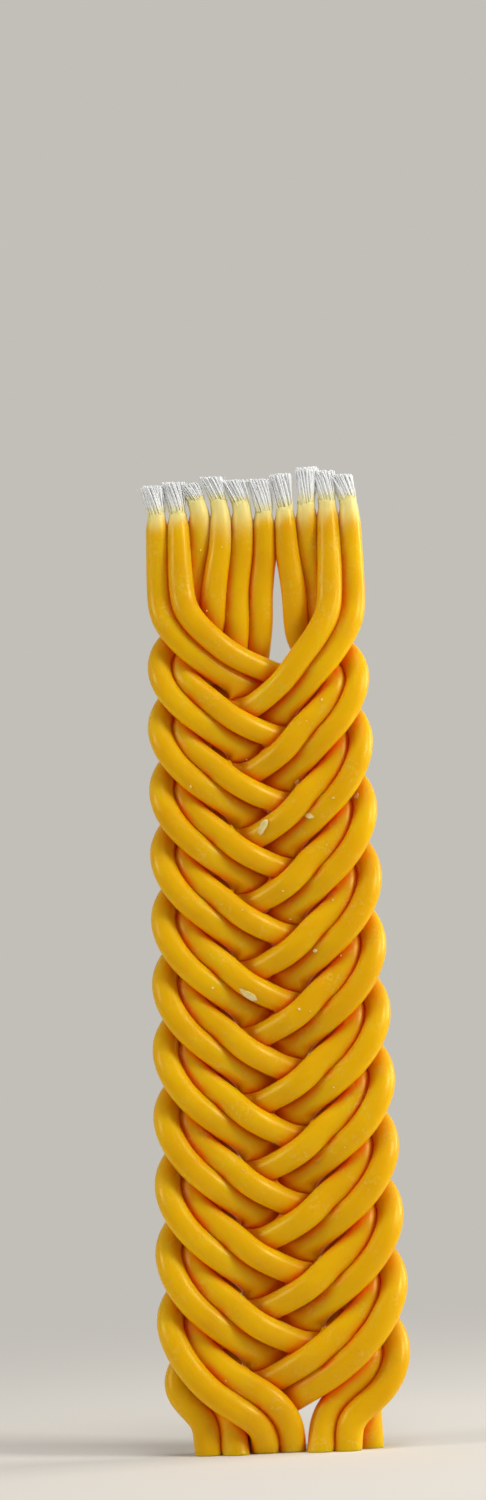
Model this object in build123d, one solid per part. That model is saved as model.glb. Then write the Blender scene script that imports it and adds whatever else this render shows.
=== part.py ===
from build123d import *
import os
import numpy as np

# Havdalah candle: ten dipped wax strands in five pairs, plaited flat, each round its own cotton wick.
# Millimetres, +Z up the candle, the front towards -Y, the origin at the middle of the foot.

# Wax strands
wax_height = 167.0  # foot to the top edge of the wax
strand_top = 3.65  # round diameter of a dipped strand below its tip
strand_foot = 4.45  # round diameter at the foot, where the dips are thickest
strand_clearance = 0.15  # gap between one strand and the next
press = 0.78  # depth over width of a strand once the plait is pressed flat
tip_width = 2.9  # diameter of the wax at its top edge, where it thins to the wick
tip_run = 4.0  # length over which it thins

# Plait
row_run = 15.6  # row of strands above the first turn
row_lean = 2.0  # how far the middle pair leans in the row, towards the edge where it turns first
foot_run = 6.5  # ends below the last turn, which straighten to the foot
draw_in = 0.955  # share of the row's width that the plait keeps at its turns, before the strands grow
foot_gather = 0.7  # share of the plait's width to which those ends are drawn together
pair_gap = 0.7  # open gap between one pair and the next, along an edge
pass_slope = 30.0  # degrees below level at which a pair crosses the front
right_lead = 0.5  # radians by which the first turns at the right edge come early
lead_run = 100.0  # length over which those turns fall back into step
inward_lag = 0.35  # radians by which a pair comes in slower over the front than it goes out behind

# Wicks
wick_width = 1.0  # square cotton plait inside the wax
wick_clearance = 0.05  # gap between the wick and its bore, each side
wick_wall = 0.3  # least wax round the wick, which cuts across the strand's bends
wick_bare = 7.7  # longest wick end that stands out of the wax
bare_shares = (0.7, 0.77, 0.73, 0.86, 0.77, 0.77, 0.87, 1, 0.91, 0.81)  # each end's length against that
tuft_width = 3.5  # frayed end, across
tuft_depth = 2.4  # frayed end, front to back
tuft_lean = 1.3  # how far the frayed end leans to the left
# Frayed end from its tip down: shares of its length, of the frayed size and of the lean
tuft_shape = ((1, 0.85, 1), (0.5, 1, 0.35), (0.12, 0.8, 0.05))

# The order of the plait: pitches from the first turn at the left edge to each pair's own turn there,
# and the edge that each pair reaches first, left -1 or right 1
left_turns = (0, 1, 2, 4, 3)
first_edges = (-1, -1, -1, 1, 1)
pairs = len(left_turns)
join_pitches = 0.5  # pitches over which a pair leaves the row for the plait
layer_depth = 0.62  # depth of the front and back layers as drawn, in strand widths
layer_flatness = 1.6  # how flat the layers lie between the places where a pair changes sides

# How the strands settle against one another
levels_per_width = 5.5  # levels at which they are compared, in one strand's width
settle_rounds = 300
corner_rounds = 10  # smoothing of the lines as drawn
bend_rounds = 12  # smoothing of the moves in each round
stiffness = 0.4
least_stiffness = 0.12  # share of the stiffness that is left in the last rounds
hold_across = 0.05  # pull back to the line as drawn, sideways
hold_depth = 0.004  # and front to back

# Facets
strand_sides = 8
wick_sides = 4
facet_sag = 0.19  # how far a straight run between two rings leaves the bend that it follows
ring_rounds = 80  # rounds in which those runs settle in turn
tiny = 1e-9


def ease(value):
    """Zero up to 0, one from 1 on, and smooth between."""
    share = np.clip(value, 0, 1)
    return share * share * (3 - 2 * share)


# Levels, counted down from the top of the wax, and what the strands measure there:
# round in the row, and pressed to ovals of the same area in the plait
level_count = round(wax_height / strand_top * levels_per_width)
down = np.linspace(0, wax_height, level_count)
level_step = down[1]
round_size = strand_top + (strand_foot - strand_top) * down / wax_height
pressed = 1 - (1 - press) * ease(down / row_run)
width = round_size / np.sqrt(pressed)
spacing = width + strand_clearance

# The plait: its pitch and half width grow with the strands, and it comes to a stop above the foot
plait_stop = wax_height - foot_run
past_stop = np.clip(down - plait_stop + foot_run / 2, 0, foot_run)
plaited = np.minimum(down, plait_stop + foot_run / 2) - past_stop**2 / (2 * foot_run)
gathered = 1 - (1 - foot_gather) * ease((down - plait_stop) / foot_run + 1)
half_width = draw_in * (pairs - 1) * (round_size + strand_clearance) * gathered
pitch = 2 * spacing / np.cos(np.radians(pass_slope)) + pair_gap
turn = 2 * np.pi / pairs
advance = turn * np.concatenate([[0], np.cumsum(np.diff(plaited) / pitch[1:])])
advance -= np.interp(row_run, down, advance)


def pair_line(pair):
    """Sideways place and depth of a pair's middle: a figure of eight, in over the front and out behind."""
    angle = advance - turn * left_turns[pair]
    angle = angle + right_lead * ease(1 - down / lead_run) * (1 - np.cos(angle)) / 2
    angle = angle - inward_lag * np.sin(angle) ** 2
    across = -half_width * np.cos(angle)
    depth = -layer_depth * width * np.tanh(layer_flatness * np.sin(2 * angle))
    # From the row, a pair joins its figure of eight where that passes its place on the way out.
    place = (2 * pair - pairs + 1) * (strand_top + strand_clearance)
    lean = first_edges[pair] * row_lean * (1 - (place / half_width[0]) ** 2)
    place = place + lean * ease(down / row_run) ** 2
    edge = np.argmax(angle >= (-np.pi if first_edges[pair] > 0 else 0))
    inside = first_edges[pair] * (across - place)[:edge] < 0
    joined = down[np.flatnonzero(inside)[-1] + 1]
    since = (down - joined) / (join_pitches * pitch[0])
    return place + (across - place) * ease(since), depth * ease(since + join_pitches)


def rounded(line):
    """Take the corners out of a line, with its ends kept."""
    line = line.copy()
    for _ in range(corner_rounds):
        line[..., 1:-1] = (line[..., 2:] + 2 * line[..., 1:-1] + line[..., :-2]) / 4
    return line


def drawn_lines():
    """Lines of the strands, left and right of the middle of each pair, before they settle."""
    across, depth = [], []
    for pair in range(pairs):
        middle, middle_depth = pair_line(pair)
        slope = np.gradient(middle, level_step)
        length = np.hypot(slope, 1)
        for side in (-1, 1):
            level = np.maximum.accumulate(down - side * slope / length * spacing / 2)
            across.append(np.interp(down, level, middle + side * spacing / 2 / length))
            depth.append(np.interp(down, level, middle_depth))
    return rounded(np.array([across, depth]))


def pushes(lines):
    """How far the strands that lie too close push each other apart, at each level."""
    push = np.zeros_like(lines)
    hits = np.zeros_like(lines[0])
    itself = np.where(np.eye(2 * pairs), np.inf, tiny)[:, :, None]
    reach = int(np.ceil(spacing.max() / level_step))
    for offset in range(-reach, reach + 1):
        here = slice(max(0, offset), level_count + min(0, offset))
        there = slice(max(0, -offset), level_count - max(0, offset))
        gap = lines[:, :, None, here] - lines[:, None, :, there]
        apart = np.hypot(*gap) + itself
        wanted = (spacing[here] + spacing[there]) / 2
        needed = np.sqrt(np.maximum(wanted**2 - (offset * level_step) ** 2, 0))
        short = np.maximum(needed - apart, 0) / apart / 2
        push[:, :, here] += (short * gap).sum(axis=2)
        hits[:, here] += (short > 0).sum(axis=1)
    return push / np.maximum(hits, 1)


def settled_lines():
    """Lines of the strands, pushed apart level by level until they lie side by side."""
    drawn = drawn_lines()
    moved = np.zeros_like(drawn)
    for settle_round in range(settle_rounds):
        looseness = max(1 - settle_round / settle_rounds, least_stiffness)
        moved += pushes(drawn + moved)
        for _ in range(bend_rounds):
            bend = (moved[:, :, 2:] + moved[:, :, :-2]) / 2 - moved[:, :, 1:-1]
            moved[:, :, 1:-1] += stiffness * looseness * bend
        moved[0] *= 1 - hold_across * looseness
        moved[1] *= 1 - hold_depth * looseness
    return drawn + moved


def ring_levels(line):
    """Levels of a strand's rings, closer together the more it bends."""
    steps = np.diff(rounded(np.array([*line, -down])))
    lengths = np.linalg.norm(steps, axis=0)
    headings = steps / lengths
    bends = np.arccos(np.clip((headings[:, 1:] * headings[:, :-1]).sum(axis=0), -1, 1))
    sags = bends * lengths[1:] / 8  # as of a flat arc
    paced = np.concatenate([[0, 0], np.cumsum(np.sqrt(sags / facet_sag))])
    count = int(np.ceil(paced[-1])) + 1
    levels = np.interp(np.linspace(0, paced[-1], count), paced, down)
    return np.union1d(levels, [0, tip_run, wax_height])


def strand_points():
    """Middles of each strand's rings, with the straight runs between them pushed apart like the lines."""
    lines = settled_lines().swapaxes(0, 1)
    levels = [ring_levels(line) for line in lines]
    shares = [np.array([np.interp(down, own, unit) for unit in np.eye(len(own))]) for own in levels]
    places = [np.array([np.interp(own, down, axis) for axis in line]) for line, own in zip(lines, levels)]
    for _ in range(ring_rounds):
        push = pushes(np.stack([place @ share for place, share in zip(places, shares)], axis=1))
        for strand, share in enumerate(shares):
            touched = share * push[:, strand].any(axis=0)
            places[strand] += push[:, strand] @ touched.T / np.maximum(touched.sum(axis=1), tiny)
    reach = np.concatenate(places, axis=1)
    middle = (reach.max(axis=1) + reach.min(axis=1)) / 2
    return [np.column_stack([place.T - middle, wax_height - own]) for place, own in zip(places, levels)]


def wick_points(points):
    """Points of a strand that its wick keeps to, cutting across bends as far as its wall of wax allows."""
    bore_reach = (wick_width / 2 + wick_clearance) * np.sqrt(2)
    flat_reach = np.interp(wax_height - points[:, 2], down, width) / 2 * np.cos(np.pi / strand_sides)
    room = flat_reach - bore_reach - wick_wall
    kept = [0]
    for point in range(1, len(points) - 1):
        passed = slice(kept[-1], point + 1)
        cut = points[point + 1] - points[kept[-1]]
        strayed = np.cross(points[passed] - points[kept[-1]], cut / np.linalg.norm(cut))
        if (np.linalg.norm(strayed, axis=1) > room[passed]).any():
            kept.append(point)
    return points[kept + [len(points) - 1]]


def bar_rings(points, sizes, sides):
    """Rings of a mitred bar through a run of points, pressed flat with the plait, and level at both ends."""
    runs = np.diff(points, axis=0)
    runs /= np.linalg.norm(runs, axis=1)[:, None]
    mitres = np.vstack([runs[:-1] + runs[1:], [0, 0, 1]])
    angles = (np.arange(sides) + 0.5) * 2 * np.pi / sides
    spread = np.column_stack([np.cos(angles), np.sin(angles), np.zeros(sides)]) / 2
    spreads = [spread]
    for run, mitre in zip(runs, mitres):
        spread = spread - np.outer(spread @ mitre / (run @ mitre), run)
        spreads.append(spread)
    corners = points[:, None] + np.array(spreads) * sizes[:, None, None]
    corners[..., 1] *= np.interp(wax_height - corners[..., 2], down, pressed)
    return corners


def wax_rings(points):
    """Rings of a strand's skin, which thins to the wick at the top."""
    levels = wax_height - points[:, 2]
    sizes = np.interp(levels, down, width) - (strand_top - tip_width) * (1 - ease(levels / tip_run))
    return bar_rings(points, sizes, strand_sides)


def cord_rings(points, side_length):
    """Rings of a square cord inside a strand."""
    return bar_rings(points, np.full(len(points), side_length * np.sqrt(2)), wick_sides)


def tuft_rings(top, bare):
    """Rings of a wick's bare end, from its frayed tip down to the wax."""
    heights, frays, leans = np.array(tuft_shape).T
    lifts = np.column_stack([-leans * tuft_lean, np.zeros(len(leans)), heights * bare])
    corners = np.array([[1, 1, 0], [-1, 1, 0], [-1, -1, 0], [1, -1, 0]]) / 2
    return top + lifts[:, None] + frays[:, None, None] * corners * [tuft_width, tuft_depth, 0]


def tube(rings):
    """Solid through a run of rings, with straight facets from each to the next."""
    wires = [Wire.make_polygon([Vector(*corner) for corner in corners], close=True) for corners in rings]
    return Solid.make_loft(wires, ruled=True)


os.makedirs("parts", exist_ok=True)
for strand, points in enumerate(strand_points()):
    core = wick_points(points)
    tuft = tuft_rings(core[0], wick_bare * bare_shares[strand])
    wick = tube(np.concatenate([tuft, cord_rings(core, wick_width)]))
    bore = tube(cord_rings(core, wick_width + 2 * wick_clearance))
    wax = tube(wax_rings(points)) - bore
    export_step(wax, f"parts/wax_strand_{strand + 1:02d}.step")
    export_step(wick, f"parts/wick_{strand + 1:02d}.step")
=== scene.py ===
import math

import bpy
import numpy as np
from mathutils import Matrix, Vector
from mathutils.bvhtree import BVHTree


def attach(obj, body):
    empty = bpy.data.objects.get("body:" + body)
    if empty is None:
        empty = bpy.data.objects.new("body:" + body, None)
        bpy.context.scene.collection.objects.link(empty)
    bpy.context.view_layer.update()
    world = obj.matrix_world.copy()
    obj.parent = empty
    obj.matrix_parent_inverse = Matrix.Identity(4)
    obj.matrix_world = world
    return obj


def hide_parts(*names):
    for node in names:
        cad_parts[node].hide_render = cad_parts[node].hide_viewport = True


# Havdalah candle: ten dipped wax strands in five pairs, plaited flat, each round its own cotton wick.
# Metres, in the frame of the solids: +Z up the candle, the front towards -Y.

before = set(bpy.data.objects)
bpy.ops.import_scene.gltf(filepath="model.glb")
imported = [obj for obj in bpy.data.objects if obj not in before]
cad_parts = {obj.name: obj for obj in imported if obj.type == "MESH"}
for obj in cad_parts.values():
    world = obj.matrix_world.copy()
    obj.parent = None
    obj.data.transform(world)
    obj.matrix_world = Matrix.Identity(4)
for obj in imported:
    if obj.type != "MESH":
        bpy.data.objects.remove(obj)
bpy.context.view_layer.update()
mm = 0.001

# Wax strands, as in the solids
wax_height = 167.0 * mm  # foot to the top edge of the wax
strand_top = 3.65 * mm  # round diameter of a dipped strand below its tip
strand_foot = 4.45 * mm  # round diameter at the foot, where the dips are thickest
strand_clearance = 0.15 * mm  # gap between one strand and the next
press = 0.78  # depth over width of a strand once the plait is pressed flat

# Plait, as in the solids
row_run = 15.6 * mm  # row of strands above the first turn
row_lean = 2.0 * mm  # how far the middle pair leans in the row, towards the edge where it turns first
foot_run = 6.5 * mm  # ends below the last turn, which straighten to the foot
draw_in = 0.955  # share of the row's width that the plait keeps at its turns, before the strands grow
foot_gather = 0.7  # share of the plait's width to which those ends are drawn together
pair_gap = 0.7 * mm  # open gap between one pair and the next, along an edge
pass_slope = math.radians(30.0)  # below level, at which a pair crosses the front
right_lead = 0.5  # radians by which the first turns at the right edge come early
lead_run = 100.0 * mm  # length over which those turns fall back into step
inward_lag = 0.35  # radians by which a pair comes in slower over the front than it goes out behind
join_pitches = 0.5  # pitches over which a pair leaves the row for the plait
layer_depth = 0.62  # depth of the front and back layers as drawn, in strand widths
layer_flatness = 1.6  # how flat the layers lie between the places where a pair changes sides
# Pairs from left to right: the pitch at which each turns at the left edge, and the edge where it turns first
left_turns = (0, 1, 2, 4, 3)
first_edges = (-1, -1, -1, 1, 1)
pairs = len(left_turns)

# Settling of the strands, as in the solids
levels_per_width = 5.5  # levels at which they are compared, in one strand's width
settle_rounds = 300
corner_rounds = 10  # smoothing of the lines as drawn
bend_rounds = 12  # smoothing of the moves in each round
stiffness = 0.4
least_stiffness = 0.12  # share of the stiffness that is left in the last rounds
hold_across = 0.05  # pull back to the line as drawn, sideways
hold_depth = 0.004  # and front to back
tiny = 1e-12  # keeps divisions from zero

# Skin of the wax
ring_step = 0.45 * mm  # between the rings of a strand's mesh
strand_sides = 32
row_fullness = 1.02  # width of the strands in the row against their spacing
fullness = 0.94  # and in the plait
path_rounds = 10  # smoothing of a strand's path
depth_rounds = 60  # and of its depth
swell = 0.008  # unevenness of a strand's width along it, as a share
swell_run = 7.0 * mm
dimple = 0.006  # shallow dents, as a share of the width
dimple_run = 2.2 * mm
dimples_round = 7  # dents that fit round a strand
tip_thinning = 0.85 * mm  # how much thinner a strand is at its tip
tip_run = 3.0 * mm  # length over which it thins, besides what has climbed
tip_ribs = 9  # yarns that show through the thin wax
rib_height = 0.025  # as a share of the width
rib_turn = 4.0 * mm  # length in which they turn by a radian
ragged_tip = 0.35 * mm  # unevenness of the top edge
rags_round = 14  # uneven bits that fit round it
lip_share = 0.6  # hollow in the tip against its width
lip_depth = 0.4 * mm
foot_level = 3.0 * mm  # over which the rings turn level towards the foot
foot_bevel = 0.25 * mm
foot_share = 0.95  # flat face of the foot against the strand's width
foot_recess = 0.6 * mm  # depth of the bore that shows round the wick's cut end
strand_seed = 100  # of the first strand's unevenness

# Wax between the strands
fill_reach = 0.15 * mm  # gaps that the pressed wax fills
fill_end = 0.6 * mm  # gaps that it leaves open
fill_overlap = 0.03 * mm
hole_level = 27.0 * mm  # below the top, from where on holes through the plait are closed, inside it
hole_across = 17.0 * mm  # either side of the middle, within which they are looked for
hole_step = 0.2 * mm
hole_looks = (-0.08, 0.0, 0.08)  # slopes of the directions in which they are looked for
hole_depth = 2.0 * mm  # before and behind the middle, within which wax is drawn together
hole_facing = 0.25  # how far a place may face outward and still count as inner
hole_near = 5.0 * mm  # from a hole, up to which rings are looked at
hole_reach = 0.9 * mm  # over which the wax round a hole is drawn towards it
hole_rounds = 9
look_from = 50.0 * mm  # from the middle, for looks at the plait from outside

# Pale tips, and painted shade in the creases
pale_run = 2.6 * mm  # wax below its top edge that is thin and pale
pale_climb = 2.0  # how much further that reaches, for each length that wax has climbed
pale_spread = 0.22  # unevenness of that reach
pale_patches = 10  # uneven bits that fit round a strand
pale_power = 1.2
hollow_reach = 4.0 * mm  # distance within which neighbours make a place hollow
hollow_tilt = math.radians(52)  # of the directions looked in, from straight out
hollow_turns = 6
hollow_stride = 2  # rings, and sides of a ring, for each place that is looked at
row_painted_shade = 0.55  # strength of the painted crease shade in the row against the plait's

# Wicks
wick_width = 1.0 * mm
wick_sides = 10
# Their ends, left to right: length out of the wax, lean sideways, and how far wax has climbed up them
wick_ends = (
    (5.4 * mm, -0.6 * mm, 0.4 * mm),
    (5.9 * mm, -0.6 * mm, 0.4 * mm),
    (5.6 * mm, -1.7 * mm, 2.6 * mm),
    (6.6 * mm, -1.5 * mm, 2.5 * mm),
    (5.9 * mm, -1.3 * mm, 1.9 * mm),
    (5.9 * mm, -0.9 * mm, 0.1 * mm),
    (6.7 * mm, -0.5 * mm, 0.6 * mm),
    (7.7 * mm, 0.4 * mm, 1.5 * mm),
    (7.0 * mm, -0.6 * mm, 1.8 * mm),
    (6.2 * mm, -1.2 * mm, 1.6 * mm),
)
lean_power = 1.35  # how the lean grows up a wick end
cord_sunk = 0.6 * mm  # top of the cord below the wax's tip
cord_soaked = 0.8  # how far the cord in the wax is soaked with it
tuft_base = 2.7 * mm
tuft_width = 3.9 * mm
tuft_depth = 2.8 * mm
tuft_sunk = 1.2 * mm  # yarn below the wax's top edge
tuft_twist = -0.7  # turn of the yarns round the end, from the wax to the tip
flare_power = 1.2  # how the tuft widens towards its tip
soak_share = 0.5  # part of a bare end that is soaked with wax
yarns = 90
yarn_width = 0.3 * mm
yarn_sides = 6
yarn_rings = 10
yarn_scatter = 0.05  # of the yarns' places, as a share of the tuft
yarn_shortness = 0.05  # spread of their lengths, as a share
yarn_wobble = 0.1 * mm
core_share = 0.82  # solid middle of the tuft against its width
core_height = 0.95  # and against its height
core_sides = 28
core_dome = 0.9  # how far its top is rounded off
core_rib = 0.05  # height of its ribs, as a share
dome_run = 0.25  # share of its height that is rounded off
hairs = 30
hair_width = 0.03 * mm
hair_sides = 3
hair_heights = (0.7, 1.06)  # against the tuft's, which they don't pass
hair_wobble = 0.3 * mm
hair_flare = 1.12  # how much wider than the yarns they spread

# Shavings of wax that lie on the front: place across and up, length, width and turn from level
shavings = (
    (-0.2 * mm, 111.0 * mm, 2.8 * mm, 1.4 * mm, 1.0),
    (6.1 * mm, 118.8 * mm, 1.5 * mm, 0.8 * mm, 1.5),
    (8.0 * mm, 112.7 * mm, 1.9 * mm, 1.0 * mm, -0.3),
    (16.6 * mm, 115.9 * mm, 1.3 * mm, 0.9 * mm, 0.5),
    (-4.0 * mm, 81.7 * mm, 3.6 * mm, 1.3 * mm, -0.6),
    (8.2 * mm, 88.8 * mm, 1.0 * mm, 0.6 * mm, 0.1),
)
shaving_thickness = 0.14 * mm
shaving_rows, shaving_columns = 9, 6
shaving_edge = 0.12  # unevenness of the edge
shaving_curl = 0.16  # lift of the sides against the width
shaving_lift = 0.5  # lift of one end against that
shaving_float = 0.3  # height of the middle above the wax against the thickness
shaving_rim = 0.2  # thickness of the rim against the middle's
rim_power = 4
crumbs = 70  # scattered over the front and the back
crumb_size = 0.38 * mm
crumb_sizes = (0.5, 1.6)  # least and most against that
crumb_widths = (0.4, 0.8)  # against their length
crumb_across = 0.9  # part of the plait's width that they lie on
crumb_heights = (0.06, 0.97)  # part of its height
crumb_turn = 3.0  # radians over which they are turned
crumb_facing = 0.85  # how far a place faces outward where one stays
crumb_front = 0.65  # part of them on the front
crumb_seed = 7

# Colours, as shares of red, green and blue light
gold = (0.72, 0.4, 0.0008, 1)
light_gold = (0.78, 0.48, 0.001, 1)
# Painted shade: the wax's colours in its creases and deep creases, darker and redder where less light
# reaches
painted_crease_shade = (0.78, 0.3, 0.0006, 1)
painted_deep_crease_shade = (0.86, 0.08, 0.0004, 1)
bloom_pale = (0.8, 0.62, 0.16, 1)
thin_wax = (0.86, 0.75, 0.3, 1)
shaving_gold = (0.82, 0.6, 0.16, 1)
shaving_pale = (0.9, 0.78, 0.4, 1)
cotton_shade = (0.85, 0.88, 0.9, 1)
cotton_white = (0.95, 0.97, 0.98, 1)
soaked_cotton = (0.92, 0.85, 0.45, 1)
wax_ior = 1.44

# Stage
background = (0.54, 0.52, 0.48, 1)
floor_colour = (0.78, 0.76, 0.72, 1)
floor_radius = 3.0
floor_sides = 96
floor_near, floor_far = 0.08, 0.3  # between which the floor fades into the background
world_colour = (1, 0.98, 0.95, 1)
world_strength = 0.2
# Lamps: name, place, size, power in watts and tint
lamps = (
    ("right", (0.8, -0.44, 0.55), 0.26, 5.8, (1, 0.97, 0.93)),
    ("left", (-0.85, -0.36, 0.42), 0.28, 2.9, (1, 0.98, 0.95)),
    ("edge", (0.6, 0.12, 0.28), 0.25, 2.0, (1, 0.97, 0.92)),
    ("top", (0.1, -0.25, 0.9), 0.3, 2.0, (1, 0.98, 0.95)),
)

# View of the photograph: its scale, the pixel at the middle of the wax's top edge, and the candle's lean
photo_width, photo_height = 486, 1500
photo_scale = 0.1776 * mm
top_pixel = (252.5, 512.0)
photo_lean = math.radians(2.16)
camera_distance = 1.2
sensor = 36.0


def ease(value):
    """Zero up to 0, one from 1 on, and smooth between."""
    share = np.clip(value, 0, 1)
    return share * share * (3 - 2 * share)


# Levels, counted down from the top of the wax, and what the strands measure there
level_count = round(wax_height / strand_top * levels_per_width)
down = np.linspace(0, wax_height, level_count)
level_step = down[1]
round_size = strand_top + (strand_foot - strand_top) * down / wax_height
pressed = 1 - (1 - press) * ease(down / row_run)
width = round_size / np.sqrt(pressed)
spacing = width + strand_clearance

# The plait: its pitch and half width grow with the strands, and it comes to a stop above the foot
plait_stop = wax_height - foot_run
past_stop = np.clip(down - plait_stop + foot_run / 2, 0, foot_run)
plaited = np.minimum(down, plait_stop + foot_run / 2) - past_stop**2 / (2 * foot_run)
gathered = 1 - (1 - foot_gather) * ease((down - plait_stop) / foot_run + 1)
half_width = draw_in * (pairs - 1) * (round_size + strand_clearance) * gathered
pitch = 2 * spacing / np.cos(pass_slope) + pair_gap
turn = 2 * np.pi / pairs
advance = turn * np.concatenate([[0], np.cumsum(np.diff(plaited) / pitch[1:])])
advance -= np.interp(row_run, down, advance)


def pair_line(pair):
    """Sideways place and depth of a pair's middle: a figure of eight, in over the front and out behind."""
    angle = advance - turn * left_turns[pair]
    angle = angle + right_lead * ease(1 - down / lead_run) * (1 - np.cos(angle)) / 2
    angle = angle - inward_lag * np.sin(angle) ** 2
    across = -half_width * np.cos(angle)
    depth = -layer_depth * width * np.tanh(layer_flatness * np.sin(2 * angle))
    # From the row, a pair joins its figure of eight where that passes its place on the way out.
    place = (2 * pair - pairs + 1) * (strand_top + strand_clearance)
    lean = first_edges[pair] * row_lean * (1 - (place / half_width[0]) ** 2)
    place = place + lean * ease(down / row_run) ** 2
    edge = np.argmax(angle >= (-np.pi if first_edges[pair] > 0 else 0))
    inside = first_edges[pair] * (across - place)[:edge] < 0
    joined = down[np.flatnonzero(inside)[-1] + 1]
    since = (down - joined) / (join_pitches * pitch[0])
    return place + (across - place) * ease(since), depth * ease(since + join_pitches)


def rounded(line, rounds):
    """Take the corners out of a line, with its ends kept."""
    line = line.copy()
    for _ in range(rounds):
        line[..., 1:-1] = (line[..., 2:] + 2 * line[..., 1:-1] + line[..., :-2]) / 4
    return line


def softened(field, rounds):
    """A field over the rings of a strand, smoothed once round them and some rounds along them."""
    field = (np.roll(field, 1, axis=1) + 2 * field + np.roll(field, -1, axis=1)) / 4
    return rounded(field.T, rounds).T


def drawn_lines():
    """Lines of the strands, left and right of the middle of each pair, before they settle."""
    across, depth = [], []
    for pair in range(pairs):
        middle, middle_depth = pair_line(pair)
        slope = np.gradient(middle, level_step)
        length = np.hypot(slope, 1)
        for side in (-1, 1):
            level = np.maximum.accumulate(down - side * slope / length * spacing / 2)
            across.append(np.interp(down, level, middle + side * spacing / 2 / length))
            depth.append(np.interp(down, level, middle_depth))
    return rounded(np.array([across, depth]), corner_rounds)


def pushes(lines):
    """How far the strands that lie too close push each other apart, at each level."""
    push = np.zeros_like(lines)
    hits = np.zeros_like(lines[0])
    itself = np.where(np.eye(2 * pairs), np.inf, tiny)[:, :, None]
    reach = int(np.ceil(spacing.max() / level_step))
    for offset in range(-reach, reach + 1):
        here = slice(max(0, offset), level_count + min(0, offset))
        there = slice(max(0, -offset), level_count - max(0, offset))
        gap = lines[:, :, None, here] - lines[:, None, :, there]
        apart = np.hypot(*gap) + itself
        wanted = (spacing[here] + spacing[there]) / 2
        needed = np.sqrt(np.maximum(wanted**2 - (offset * level_step) ** 2, 0))
        short = np.maximum(needed - apart, 0) / apart / 2
        push[:, :, here] += (short * gap).sum(axis=2)
        hits[:, here] += (short > 0).sum(axis=1)
    return push / np.maximum(hits, 1)


def settled_lines():
    """Lines of the strands, pushed apart level by level until they lie side by side."""
    drawn = drawn_lines()
    moved = np.zeros_like(drawn)
    for settle_round in range(settle_rounds):
        looseness = max(1 - settle_round / settle_rounds, least_stiffness)
        moved += pushes(drawn + moved)
        for _ in range(bend_rounds):
            bend = (moved[:, :, 2:] + moved[:, :, :-2]) / 2 - moved[:, :, 1:-1]
            moved[:, :, 1:-1] += stiffness * looseness * bend
        moved[0] *= 1 - hold_across * looseness
        moved[1] *= 1 - hold_depth * looseness
    settled = drawn + moved
    middle = (settled.max(axis=(1, 2)) + settled.min(axis=(1, 2))) / 2
    settled -= middle[:, None, None]
    # The two strands of a pair stay in touch.
    partners = settled[:, np.arange(2 * pairs) ^ 1]
    closer = (1 - fullness) / 2 * ease(down / row_run - 1)
    return settled + closer * (partners - settled)


def evenly(points, step):
    """Points at even steps along the smooth curve through a run of points."""
    lengths = np.linalg.norm(np.diff(points, axis=0), axis=1)
    at = np.concatenate([[0], np.cumsum(lengths)])
    slopes = np.gradient(points, at, axis=0)
    wanted = np.linspace(0, at[-1], int(at[-1] / step) + 1)
    before = np.clip(np.searchsorted(at, wanted, side="right") - 1, 0, len(at) - 2)
    span = (at[before + 1] - at[before])[:, None]
    t = (wanted[:, None] - at[before][:, None]) / span
    start, end = points[before], points[before + 1]
    start_slope, end_slope = slopes[before] * span, slopes[before + 1] * span
    return (
        (1 + 2 * t) * (1 - t) ** 2 * start
        + t * (1 - t) ** 2 * start_slope
        + t * t * (3 - 2 * t) * end
        - t * t * (1 - t) * end_slope
    )


def sway(heights, end):
    """Sideways lean of a wick end at the given heights above the wax."""
    length, lean, _ = end
    return lean * (np.maximum(heights, 0) / length) ** lean_power


def strand_path(line, end):
    """Middle of a strand from the top of its wax to the foot, in even steps, before it is pressed."""
    path = evenly(np.column_stack([line[0], line[1], wax_height - down]), ring_step).T
    smooth = rounded(path, path_rounds)
    smooth[1] = rounded(path[1], depth_rounds)
    smooth[1] += rounded(path[1] - smooth[1], depth_rounds)
    path = evenly(smooth.T, ring_step)
    _, _, climb = end
    climbed = np.linspace(climb, 0, max(round(climb / ring_step), 1), endpoint=False)
    across = path[0, 0] + sway(climbed, end)
    depth = np.full(len(climbed), path[0, 1])
    return np.vstack([np.column_stack([across, depth, wax_height + climbed]), path])


def flattened(points):
    """Points pressed front to back as the plait is."""
    points = points.copy()
    points[..., 1] *= np.interp(wax_height - points[..., 2], down, pressed)
    return points


def across_path(path):
    """Sideways and outward directions at each point of a path."""
    headings = np.gradient(path, axis=0)
    sideways = np.cross(headings, [0, 1, 0])
    sideways /= np.linalg.norm(sideways, axis=1)[:, None]
    outward = np.cross(sideways, headings)
    outward /= np.linalg.norm(outward, axis=1)[:, None]
    return sideways, outward


def round_angles(sides):
    """Angles of even steps round a ring."""
    return np.arange(sides) * 2 * np.pi / sides


def unit_rings(sideways, outward, angles):
    """Rings of unit radius that lie across a path, one for each of its points."""
    cosines, sines = np.cos(angles)[None, :, None], np.sin(angles)[None, :, None]
    return cosines * sideways[:, None] + sines * outward[:, None]


def shrunk(ring, share):
    """A ring drawn in towards its middle."""
    middle = ring.mean(axis=0)
    return middle + (ring - middle) * share


def smooth_noise(random, rows, columns, row_reach, column_reach):
    """Random field of unit spread, smooth over the given reaches, that joins up at its edges."""
    field = np.fft.fft2(random.normal(size=(rows, columns)))
    row_waves = np.fft.fftfreq(rows)[:, None] * row_reach
    column_waves = np.fft.fftfreq(columns)[None, :] * column_reach
    field = np.fft.ifft2(field * np.exp(-2 * np.pi**2 * (row_waves**2 + column_waves**2))).real
    field -= field.mean()
    return field / field.std()


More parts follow.
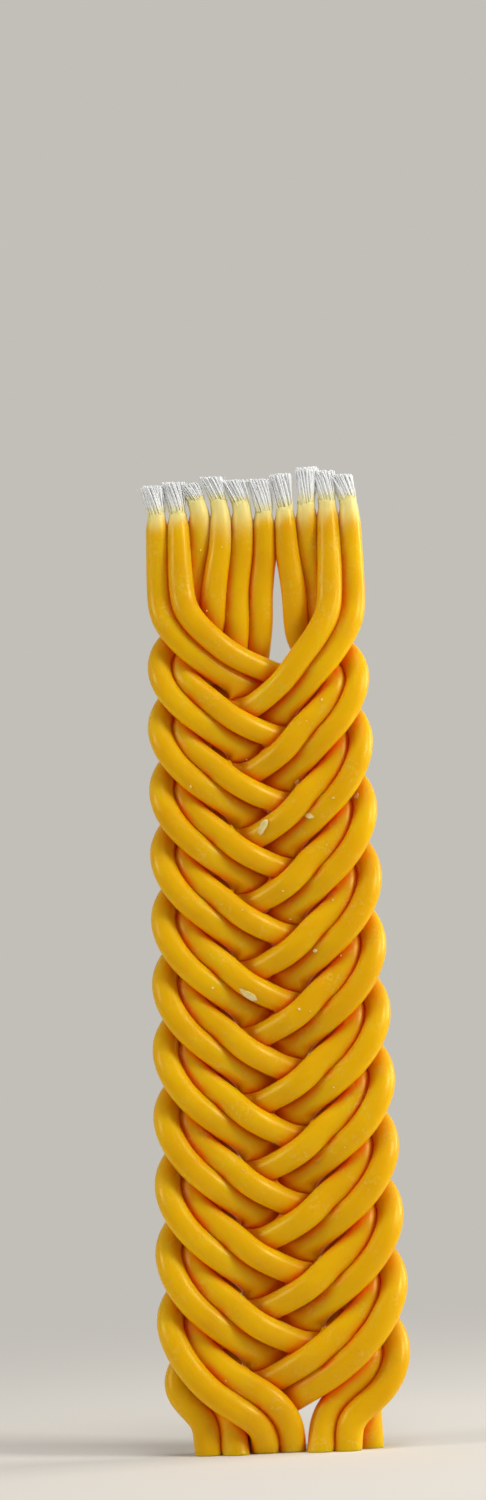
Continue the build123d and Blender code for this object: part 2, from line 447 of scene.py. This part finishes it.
def ring_faces(ring_count, sides, first=0):
    """Quads between each ring of a tube and the next."""
    ring = np.arange(ring_count - 1)[:, None] * sides + first
    side = np.arange(sides)[None, :]
    following = (side + 1) % sides
    quads = np.stack([ring + side, ring + sides + side, ring + sides + following, ring + following], axis=-1)
    return quads.reshape(-1, 4).tolist()


def tube_faces(ring_count, sides, first=0):
    """Faces of a tube that is closed at both ends."""
    end = first + ring_count * sides
    caps = [list(range(first, first + sides)), list(range(end - 1, end - 1 - sides, -1))]
    return ring_faces(ring_count, sides, first) + caps


def add_mesh(name, verts, faces, attributes, material, node=None):
    """A smooth mesh piece on the candle's body, in the place of a node where one is named."""
    mesh = bpy.data.meshes.new(name)
    mesh.from_pydata([tuple(v) for v in verts], [], faces)
    mesh.polygons.foreach_set("use_smooth", [True] * len(mesh.polygons))
    for key, values in attributes.items():
        layer = mesh.attributes.new(key, "FLOAT", "POINT")
        layer.data.foreach_set("value", np.asarray(values, np.float32))
    mesh.materials.append(material)
    mesh.update()
    piece = bpy.data.objects.new(name, mesh)
    bpy.context.scene.collection.objects.link(piece)
    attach(piece, "root")
    if node:
        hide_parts(node)


def node_adder(tree):
    """Empties a node tree and gives a short way to add nodes to it, with their inputs set or linked."""
    tree.nodes.clear()

    def add(kind, inputs=None, **settings):
        node = tree.nodes.new(kind)
        for key, value in settings.items():
            setattr(node, key, value)
        for key, value in (inputs or {}).items():
            if isinstance(value, bpy.types.NodeSocket):
                tree.links.new(value, node.inputs[key])
            else:
                node.inputs[key].default_value = value
        return node

    return add


def new_material(name):
    """A new material and the way to add its nodes."""
    material = bpy.data.materials.new(name)
    material.use_nodes = True
    return material, node_adder(material.node_tree)


def add_surface(add, inputs):
    """The shader of a material's surface."""
    shader = add("ShaderNodeBsdfPrincipled", inputs)
    add("ShaderNodeOutputMaterial", {"Surface": shader.outputs[0]})


def mix_colour(add, factor, first, second):
    """Colour between two colours."""
    node = add("ShaderNodeMix", {0: factor, 6: first, 7: second}, data_type="RGBA", blend_type="MIX")
    return node.outputs[2]


def mapped(add, value, from_low, from_high, to_low, to_high):
    """A value carried from one range to another, and held inside it."""
    inputs = {"Value": value, 1: from_low, 2: from_high, 3: to_low, 4: to_high}
    return add("ShaderNodeMapRange", inputs).outputs[0]


def noise(add, coordinates, scale, detail=3.0):
    """Value of a noise texture."""
    inputs = {"Vector": coordinates, "Scale": scale, "Detail": detail, "Roughness": 0.5}
    return add("ShaderNodeTexNoise", inputs).outputs["Fac"]


def relief(add, height, strength, depth, below=None):
    """Directions of a surface with the given relief, over another one where that is given."""
    inputs = {"Height": height, "Strength": strength, "Distance": depth}
    if below is not None:
        inputs["Normal"] = below
    return add("ShaderNodeBump", inputs).outputs[0]


def attribute(add, name):
    """Value that the mesh gives at each vertex."""
    return add("ShaderNodeAttribute", attribute_name=name).outputs["Fac"]


def wax_material():
    """Golden beeswax: translucent, with painted shade that darkens and reddens the creases, pale where it is
    thin, with bloom and fine pits.
    """
    material, add = new_material("golden_beeswax")
    place = add("ShaderNodeTexCoord").outputs["Object"]
    tip, painted_shade = attribute(add, "tip"), attribute(add, "painted_shade")
    clouds = mapped(add, noise(add, place, scale=90), 0.35, 0.65, 0, 1)
    colour = mix_colour(add, clouds, gold, light_gold)
    # Painted shade: the colour turns darker and redder where neighbouring strands close a place in
    colour = mix_colour(add, mapped(add, painted_shade, 0.02, 0.35, 0, 1), colour, painted_crease_shade)
    colour = mix_colour(add, mapped(add, painted_shade, 0.25, 0.7, 0, 1), colour, painted_deep_crease_shade)
    patches = mapped(add, noise(add, place, scale=220), 0.5, 0.72, 0, 1)
    specks = mapped(add, noise(add, place, scale=1500, detail=5), 0.5, 0.7, 0, 0.45)
    bloom = add("ShaderNodeMath", {0: patches, 1: specks}, operation="MULTIPLY").outputs[0]
    colour = mix_colour(add, bloom, colour, bloom_pale)
    colour = mix_colour(add, tip, colour, thin_wax)
    ripples = relief(add, noise(add, place, scale=420, detail=4), 0.35, 0.12 * mm)
    pits = relief(add, noise(add, place, scale=2600), 0.12, 0.04 * mm, ripples)
    add_surface(
        add,
        {
            "Base Color": colour,
            "Roughness": mapped(add, noise(add, place, scale=600, detail=4), 0.3, 0.7, 0.26, 0.42),
            "IOR": wax_ior,
            "Specular IOR Level": 0.35,
            "Specular Tint": (1, 0.8, 0.1, 1),
            "Coat Weight": 0.13,
            "Coat Roughness": 0.32,
            "Subsurface Weight": mapped(add, tip, 0.1, 0.7, 0.85, 0.05),
            "Subsurface Radius": (1.0, 0.4, 0.04),
            "Subsurface Scale": 2.8 * mm,
            "Normal": pits,
        },
    )
    return material


def shaving_material():
    """Pale shavings of wax."""
    material, add = new_material("wax_shavings")
    place = add("ShaderNodeTexCoord").outputs["Object"]
    speckle = mapped(add, noise(add, place, scale=1400, detail=4), 0.35, 0.65, 0, 1)
    add_surface(
        add,
        {
            "Base Color": mix_colour(add, speckle, shaving_gold, shaving_pale),
            "Roughness": 0.42,
            "IOR": wax_ior,
            "Subsurface Weight": 0.3,
            "Subsurface Radius": (1.0, 0.6, 0.2),
            "Subsurface Scale": 0.6 * mm,
            "Normal": relief(add, noise(add, place, scale=2200), 0.3, 0.05 * mm),
        },
    )
    return material


def wick_material():
    """White cotton yarn, soaked with wax where it leaves the strand."""
    material, add = new_material("white_cotton")
    place = add("ShaderNodeTexCoord").outputs["Object"]
    fibres = add("ShaderNodeMapping", {"Vector": place, "Scale": (1, 1, 0.25)}).outputs[0]
    strokes = noise(add, fibres, scale=5200)
    colour = mix_colour(add, mapped(add, strokes, 0.3, 0.7, 0, 1), cotton_shade, cotton_white)
    add_surface(
        add,
        {
            "Base Color": mix_colour(add, attribute(add, "soaked"), colour, soaked_cotton),
            "Roughness": 0.85,
            "Sheen Weight": 0.35,
            "Sheen Roughness": 0.5,
            "Subsurface Weight": 0.15,
            "Subsurface Radius": (1.0, 0.95, 0.85),
            "Subsurface Scale": 0.4 * mm,
            "Normal": relief(add, strokes, 0.5, 0.06 * mm),
        },
    )
    return material


def strand_rings(path, random):
    """Rings of one strand's skin, uneven as dipped wax is, pressed as the plait is."""
    count = len(path)
    sideways, outward = across_path(path)
    levels = wax_height - path[:, 2]
    upright = (1 - ease(path[:, 2] / foot_level))[:, None]
    sideways += upright * ([1, 0, 0] - sideways)
    outward += upright * ([0, 1, 0] - outward)
    angles = round_angles(strand_sides)
    swells = smooth_noise(random, count, 1, swell_run / ring_step, 1)
    dents = smooth_noise(random, count, strand_sides, dimple_run / ring_step, strand_sides / dimples_round)
    thin = 1 - ease((path[0, 2] - path[:, 2]) / (tip_run + path[0, 2] - wax_height))
    grown = row_fullness + (fullness - row_fullness) * ease(levels / row_run - 1)
    sizes = grown * np.interp(levels, down, spacing) - tip_thinning * thin
    ribs = rib_height * thin[:, None] * np.cos(tip_ribs * (angles[None, :] + levels[:, None] / rib_turn))
    radii = sizes[:, None] / 2 * (1 + swell * swells + dimple * dents + ribs)
    rings = path[:, None] + radii[..., None] * unit_rings(sideways, outward, angles)
    rings[0, :, 2] += ragged_tip * smooth_noise(random, 1, strand_sides, 1, strand_sides / rags_round)[0]
    rings[-1, :, 2] = foot_bevel
    return flattened(rings)


def ring_normals(rings):
    """Outward directions of a strand's skin."""
    along = np.gradient(rings, axis=0)
    around = np.roll(rings, -1, axis=1) - np.roll(rings, 1, axis=1)
    normals = np.cross(around, along)
    # Where the skin is folded flat, any direction will do.
    normals[..., 1] += tiny**2
    normals /= np.linalg.norm(normals, axis=2)[..., None]
    outside = (normals * (rings - rings.mean(axis=1)[:, None])).sum()
    return normals * np.sign(outside)


def skin_of(strands):
    """The skins of all strands as one surface to look for."""
    verts, faces = [], []
    for rings in strands:
        faces.extend(ring_faces(len(rings), strand_sides, len(verts)))
        verts.extend(map(tuple, rings.reshape(-1, 3)))
    return BVHTree.FromPolygons(verts, faces)


def press_together(strands):
    """Swell each strand into the small gaps to its neighbours."""
    skin = skin_of(strands)
    swollen = []
    for rings in strands:
        normals = ring_normals(rings)
        gap = np.full(rings.shape[:2], np.inf)
        for at in np.ndindex(gap.shape):
            heading = Vector(normals[at])
            start = Vector(rings[at]) + heading * fill_overlap
            _, facing, _, distance = skin.ray_cast(start, heading, fill_end)
            if distance is not None:
                gap[at] = distance if facing.dot(heading) < 0 else 0
        filled = 1 - ease((gap - fill_reach) / (fill_end - fill_reach))
        push = np.where(gap > 0, filled * (np.minimum(gap, fill_end) / 2 + fill_overlap), 0)
        push = softened(push, 1)
        push[-1] = 0
        swollen.append(rings + push[..., None] * normals)
    return swollen


def is_open(hole, looks, skin):
    """Whether one can see through the plait at a place across and up, in any of some directions."""
    middle = Vector((hole[0], 0, hole[1]))
    return any(skin.ray_cast(middle - look * look_from, look, 2 * look_from)[0] is None for look in looks)


def hole_pulls(rings, holes):
    """How far each place on the inner sides of a strand is drawn towards the holes round it."""
    middles = rings.mean(axis=1)
    inner = np.abs(rings[..., 1]) < hole_depth
    inner &= ring_normals(rings)[..., 1] * np.sign(middles[:, None, 1]) < hole_facing
    move = np.zeros_like(rings)
    for x, z in holes:
        rows = np.flatnonzero(np.hypot(middles[:, 0] - x, middles[:, 2] - z) < hole_near)
        if not len(rows):
            continue
        away = np.array([x, 0, z]) - rings[rows]
        away[..., 1] = 0
        near = np.exp(-((away**2).sum(axis=2) / hole_reach**2)) * inner[rows]
        pull = near[..., None] * away
        move[rows] = np.where(np.abs(pull) > np.abs(move[rows]), pull, move[rows])
    return move


def close_holes(strands):
    """Draw the hidden inner sides of the strands together wherever one could see through the plait."""
    strands = [rings.copy() for rings in strands]
    columns = np.arange(-hole_across, hole_across, hole_step)
    heights = np.arange(2 * foot_run, wax_height - hole_level, hole_step)
    looks = [Vector((x, 1, z)).normalized() for x in hole_looks for z in hole_looks]
    holes = [(x, z) for x in columns for z in heights]
    for _ in range(hole_rounds):
        skin = skin_of(strands)
        holes = [hole for hole in holes if is_open(hole, looks, skin)]
        for rings in strands:
            rings += softened(hole_pulls(rings, holes), 2)
    return strands


def hollows(rings, skin):
    """How far each place on a strand is closed in by the strands round it, from 0 to 1; this sets the
    painted crease shade.
    """
    some = (slice(None, None, hollow_stride), slice(None, None, hollow_stride))
    places = rings[some].reshape(-1, 3)
    outward = ring_normals(rings)[some].reshape(-1, 3)
    level = np.cross(outward, [0, 0, 1])
    level /= np.linalg.norm(level, axis=1)[:, None] + tiny
    rising = np.cross(level, outward)
    looks = [outward]
    for turned in round_angles(hollow_turns):
        aside = level * math.cos(turned) + rising * math.sin(turned)
        looks.append(outward * math.cos(hollow_tilt) + aside * math.sin(hollow_tilt))
    closed = np.zeros(len(places))
    for look in looks:
        for at, (place, heading) in enumerate(zip(places + outward * fill_overlap, look)):
            distance = skin.ray_cast(Vector(place), Vector(heading), hollow_reach)[3]
            if distance is not None:
                closed[at] += 1 - distance / hollow_reach
    closed = (closed / len(looks)).reshape(rings[some].shape[:2])
    closed = np.repeat(np.repeat(closed, hollow_stride, axis=0)[: len(rings)], hollow_stride, axis=1)
    return softened(closed, 2)


def strand_mesh(rings, skin, random):
    """Vertices, faces and attributes of one strand, among them its painted crease shade, dished at its tip
    and cut level at its foot.
    """
    lip = shrunk(rings[0], lip_share) - [0, 0, lip_depth]
    edge = shrunk(rings[-1], foot_share)
    bore = shrunk(rings[-1], wick_width / strand_foot)
    edge[:, 2] = bore[:, 2] = 0
    inside = bore + [0, 0, foot_recess]
    tube = np.concatenate([lip[None], rings, edge[None], bore[None], inside[None]])
    top_level = rings[0, :, 2].mean()
    fade = pale_run + pale_climb * (top_level - wax_height)
    patches = smooth_noise(random, 1, strand_sides, 1, strand_sides / pale_patches)[0]
    fade = fade * (1 + pale_spread * patches)
    tip = (1 - ease((top_level - tube[..., 2]) / fade[None, :])) ** pale_power
    # Painted crease shade, weaker in the row above the first turn than in the plait
    painted_shade_strength = row_painted_shade + (1 - row_painted_shade) * ease((wax_height - rings[..., 2]) / row_run)
    painted_shade = np.zeros(tube.shape[:2])
    painted_shade[1:-3] = hollows(rings, skin) * painted_shade_strength
    faces = tube_faces(len(tube), strand_sides)
    return tube.reshape(-1, 3), faces, {"tip": tip.ravel(), "painted_shade": painted_shade.ravel()}


def tuft_mesh(base, end, random):
    """Frayed yarns of a wick's bare end round a solid middle, with loose hairs between them."""
    length, _, climb = end
    low = climb - tuft_sunk
    share_up = np.linspace(0, 1, yarn_rings)[:, None]
    verts, faces, soaked = [], [], []

    def add_yarn(disc, tall, size, sides, wobble, flare=1.0, dome=0.0):
        """A yarn at a place on the tuft's unit disc, or, where no size is given, its solid middle."""
        heights = low + (tall - low) * share_up
        cosines, sines = np.cos(tuft_twist * share_up), np.sin(tuft_twist * share_up)
        spread = np.hstack([disc[0] * cosines - disc[1] * sines, disc[0] * sines + disc[1] * cosines])
        tip_size = np.array([tuft_width, tuft_depth]) * flare
        reach = (tuft_base + (tip_size - tuft_base) * share_up**flare_power) / 2
        middle = np.hstack([base[0] + sway(heights, end), np.full_like(heights, base[1])])
        middle = middle + spread * reach + wobble * np.sin(np.pi * share_up)
        angles = -round_angles(sides)
        ring = np.column_stack([np.cos(angles), np.sin(angles)])
        radius = core_share * reach[:, None] if size is None else size / 2
        past_dome = np.clip((share_up[:, :, None] - 1 + dome_run) / dome_run, 0, 1)
        ribs = 1 + core_rib * dome * np.cos(sides / 2 * angles)[None, :, None]
        rings = np.empty((yarn_rings, sides, 3))
        rings[..., :2] = middle[:, None] + ring[None] * radius * np.sqrt(1 - dome * past_dome**2) * ribs
        rings[..., 2] = wax_height + heights
        faces.extend(tube_faces(yarn_rings, sides, len(verts)))
        verts.extend(rings.reshape(-1, 3))
        above = (heights[:, 0] - climb) / (soak_share * (length - climb))
        soaked.extend(np.repeat((1 - ease(above)) ** 2, sides))

    add_yarn(np.zeros(2), core_height * length, None, core_sides, np.zeros(2), dome=core_dome)
    for yarn in range(yarns):
        # Even places on a disc, each the golden angle on from the last
        share = math.sqrt((yarn + 0.5) / yarns)
        angle = yarn * math.pi * (3 - math.sqrt(5))
        disc = np.array([math.cos(angle), math.sin(angle)]) * share + random.normal(size=2) * yarn_scatter
        tall = length * (1 - abs(random.normal()) * yarn_shortness)
        add_yarn(disc, tall, yarn_width, yarn_sides, random.normal(size=2) * yarn_wobble)
    for _ in range(hairs):
        disc = random.uniform(-1, 1, size=2)
        tall = length * min(random.uniform(*hair_heights), 1)
        add_yarn(disc, tall, hair_width, hair_sides, random.normal(size=2) * hair_wobble, hair_flare)
    return verts, faces, soaked


def wick_mesh(path, end, random):
    """A wick: the cord inside the wax down to the foot, and its frayed end."""
    cord = path[::2] if len(path) % 2 else np.vstack([path[::2], path[-1]])
    sideways, outward = across_path(cord)
    sideways[-1], outward[-1] = (1, 0, 0), (0, 1, 0)
    rings = cord[:, None] + unit_rings(sideways, outward, round_angles(wick_sides)) * wick_width / 2
    rings[0, :, 2] = path[0, 2] - cord_sunk
    rings[-1, :, 2] = 0
    verts = list(flattened(rings).reshape(-1, 3))
    faces = tube_faces(len(rings), wick_sides)
    soaked = [cord_soaked] * len(verts)
    base = path[np.argmin(np.abs(path[:, 2] - wax_height))]
    yarn_verts, yarn_faces, yarn_soaked = tuft_mesh(base, end, random)
    faces.extend([index + len(verts) for index in face] for face in yarn_faces)
    return verts + yarn_verts, faces, soaked + yarn_soaked


def make_candle():
    """All strands and wicks, each in the place of its solid. Returns the surface of the strands."""
    wax, cotton = wax_material(), wick_material()
    paths = [strand_path(*pair) for pair in zip(settled_lines().swapaxes(0, 1), wick_ends)]
    randoms = [np.random.default_rng(strand_seed + strand) for strand in range(len(paths))]
    strands = [strand_rings(*pair) for pair in zip(paths, randoms)]
    strands = close_holes(press_together(strands))
    skin = skin_of(strands)
    for strand, random in enumerate(randoms):
        number = f"{strand + 1:02d}"
        verts, faces, attributes = strand_mesh(strands[strand], skin, random)
        add_mesh(f"dipped_strand_{number}", verts, faces, attributes, wax, f"wax_strand_{number}")
        verts, faces, soaked = wick_mesh(paths[strand], wick_ends[strand], random)
        add_mesh(f"cotton_wick_{number}", verts, faces, {"soaked": soaked}, cotton, f"wick_{number}")
    return skin


def sheet_faces(rows, columns):
    """Faces of a closed sheet: a grid of points below, the same above, and the rim between them."""
    half = rows * columns
    grid = np.arange(half).reshape(rows, columns)
    corners = grid[:-1, :-1], grid[:-1, 1:], grid[1:, 1:], grid[1:, :-1]
    below = np.stack(corners, axis=-1).reshape(-1, 4)
    border = np.concatenate([grid[0], grid[1:, -1], grid[-1, -2::-1], grid[-2:0:-1, 0]])
    following = np.roll(border, -1)
    rim = np.column_stack([following, border, border + half, following + half])
    return np.concatenate([below, below[:, ::-1] + half, rim]).tolist()


def shaving_mesh(place, normal, size, turned, random):
    """A thin curled flake that lies on the wax, with an uneven edge and one end lifted."""
    length, breadth = size
    rows, columns = shaving_rows, shaving_columns
    u, v = np.meshgrid(np.linspace(-1, 1, rows), np.linspace(-1, 1, columns), indexing="ij")
    edge = 1 + shaving_edge * smooth_noise(random, rows, columns, 2, 2)
    x = u * np.sqrt(1 - v * v / 2) * edge * length / 2
    y = v * np.sqrt(1 - u * u / 2) * edge * breadth / 2
    lift = shaving_curl * breadth * (v * v + shaving_lift * np.maximum(u, 0) ** 2)
    normal = np.array(normal)
    level = np.array([1.0, 0, 0]) - normal * normal[0]
    level /= np.linalg.norm(level)
    rising = np.cross(normal, level)
    along = level * math.cos(turned) + rising * math.sin(turned)
    athwart = np.cross(normal, along)
    middle = np.array(place) + normal * shaving_thickness * shaving_float
    under = middle + x[..., None] * along + y[..., None] * athwart + lift[..., None] * normal
    full = 1 - np.maximum(np.abs(u), np.abs(v)) ** rim_power
    thickness = (shaving_rim + (1 - shaving_rim) * full) * shaving_thickness
    over = under + thickness[..., None] * normal
    verts = np.concatenate([under.reshape(-1, 3), over.reshape(-1, 3)])
    return verts, sheet_faces(rows, columns)


def make_shavings(skin):
    """Flakes where the photograph shows them, and small crumbs scattered over both faces of the plait."""
    random = np.random.default_rng(crumb_seed)
    verts, faces = [], []

    def lay(across, height, side, size, turned, least_facing=0.0):
        """A flake on the wax at a place on the front, or on the back."""
        start = Vector((across, -side * look_from, height))
        place, normal, _, _ = skin.ray_cast(start, Vector((0, side, 0)), 2 * look_from)
        if place is None or abs(normal.y) < least_facing:
            return
        flake_verts, flake_faces = shaving_mesh(place, normal, size, turned, random)
        faces.extend([index + len(verts) for index in face] for face in flake_faces)
        verts.extend(flake_verts)

    for across, height, length, breadth, turned in shavings:
        lay(across, height, 1, (length, breadth), turned)
    for _ in range(crumbs):
        across = random.uniform(-crumb_across, crumb_across) * half_width[0]
        height = random.uniform(*crumb_heights) * wax_height
        side = 1 if random.random() < crumb_front else -1
        length = crumb_size * random.uniform(*crumb_sizes)
        breadth = length * random.uniform(*crumb_widths)
        lay(across, height, side, (length, breadth), random.uniform(0, crumb_turn), crumb_facing)
    add_mesh("wax_shavings", verts, faces, {}, shaving_material())


def seen_rays(add):
    """One for rays from the camera, off shiny surfaces and through clear ones, and zero for others."""
    path = add("ShaderNodeLightPath")
    seen = path.outputs["Is Camera Ray"]
    for kind in ("Is Glossy Ray", "Is Transmission Ray"):
        seen = add("ShaderNodeMath", {0: seen, 1: path.outputs[kind]}, operation="MAXIMUM").outputs[0]
    return seen


def floor_material():
    """Pale floor: lit near the candle, where its shadow falls, and as the background further out."""
    material, add = new_material("pale_floor")
    place = add("ShaderNodeNewGeometry").outputs["Position"]
    reach = add("ShaderNodeVectorMath", {0: place}, operation="LENGTH").outputs["Value"]
    far = mapped(add, reach, floor_near, floor_far, 0, 1)
    flat = add("ShaderNodeMath", {0: seen_rays(add), 1: far}, operation="MULTIPLY").outputs[0]
    diffuse = add("ShaderNodeBsdfDiffuse", {"Color": floor_colour})
    glow = add("ShaderNodeEmission", {"Color": background, "Strength": 1.0})
    mixed = add("ShaderNodeMixShader", {0: flat, 1: diffuse.outputs[0], 2: glow.outputs[0]})
    add("ShaderNodeOutputMaterial", {"Surface": mixed.outputs[0]})
    return material


def make_floor():
    """Plain floor that the candle stands on."""
    bpy.ops.mesh.primitive_circle_add(
        vertices=floor_sides, radius=floor_radius, fill_type="NGON", location=(0, 0, 0)
    )
    floor = bpy.context.object
    floor.name = "floor"
    floor.data.materials.append(floor_material())


def make_world():
    """Dim light from all round, with a plain background for what is seen."""
    world = bpy.data.worlds.new("studio")
    bpy.context.scene.world = world
    world.use_nodes = True
    add = node_adder(world.node_tree)
    dim = add("ShaderNodeBackground", {"Color": world_colour, "Strength": world_strength})
    pale = add("ShaderNodeBackground", {"Color": background})
    mixed = add("ShaderNodeMixShader", {0: seen_rays(add), 1: dim.outputs[0], 2: pale.outputs[0]})
    add("ShaderNodeOutputWorld", {0: mixed.outputs[0]})


def make_lamps():
    """Soft lamps that point at the middle of the candle."""
    for name, place, size, power, tint in lamps:
        data = bpy.data.lights.new(name, "AREA")
        data.color = tint
        data.size = size
        data.energy = power
        lamp = bpy.data.objects.new(name, data)
        lamp.location = place
        aim = Vector((0, 0, wax_height / 2)) - lamp.location
        lamp.rotation_euler = aim.to_track_quat("-Z", "Y").to_euler()
        bpy.context.scene.collection.objects.link(lamp)


def make_camera():
    """Camera square to the candle's front, with the photograph's framing and lean."""
    right = Vector((math.cos(photo_lean), 0, -math.sin(photo_lean)))
    up = Vector((math.sin(photo_lean), 0, math.cos(photo_lean)))
    away = [photo_width / 2 - top_pixel[0], top_pixel[1] - photo_height / 2]
    aim = Vector((0, 0, wax_height)) + (right * away[0] + up * away[1]) * photo_scale
    data = bpy.data.cameras.new("camera")
    data.sensor_width = sensor
    data.lens = sensor * camera_distance / (photo_height * photo_scale)
    camera = bpy.data.objects.new("camera", data)
    back = Vector((0, -1, 0))
    rotation = Matrix((right, up, back)).transposed()
    camera.matrix_world = Matrix.Translation(aim + back * camera_distance) @ rotation.to_4x4()
    bpy.context.scene.collection.objects.link(camera)
    bpy.context.scene.camera = camera


make_shavings(make_candle())
make_floor()
make_world()
make_lamps()
make_camera()
bpy.context.scene.view_settings.view_transform = "Standard"
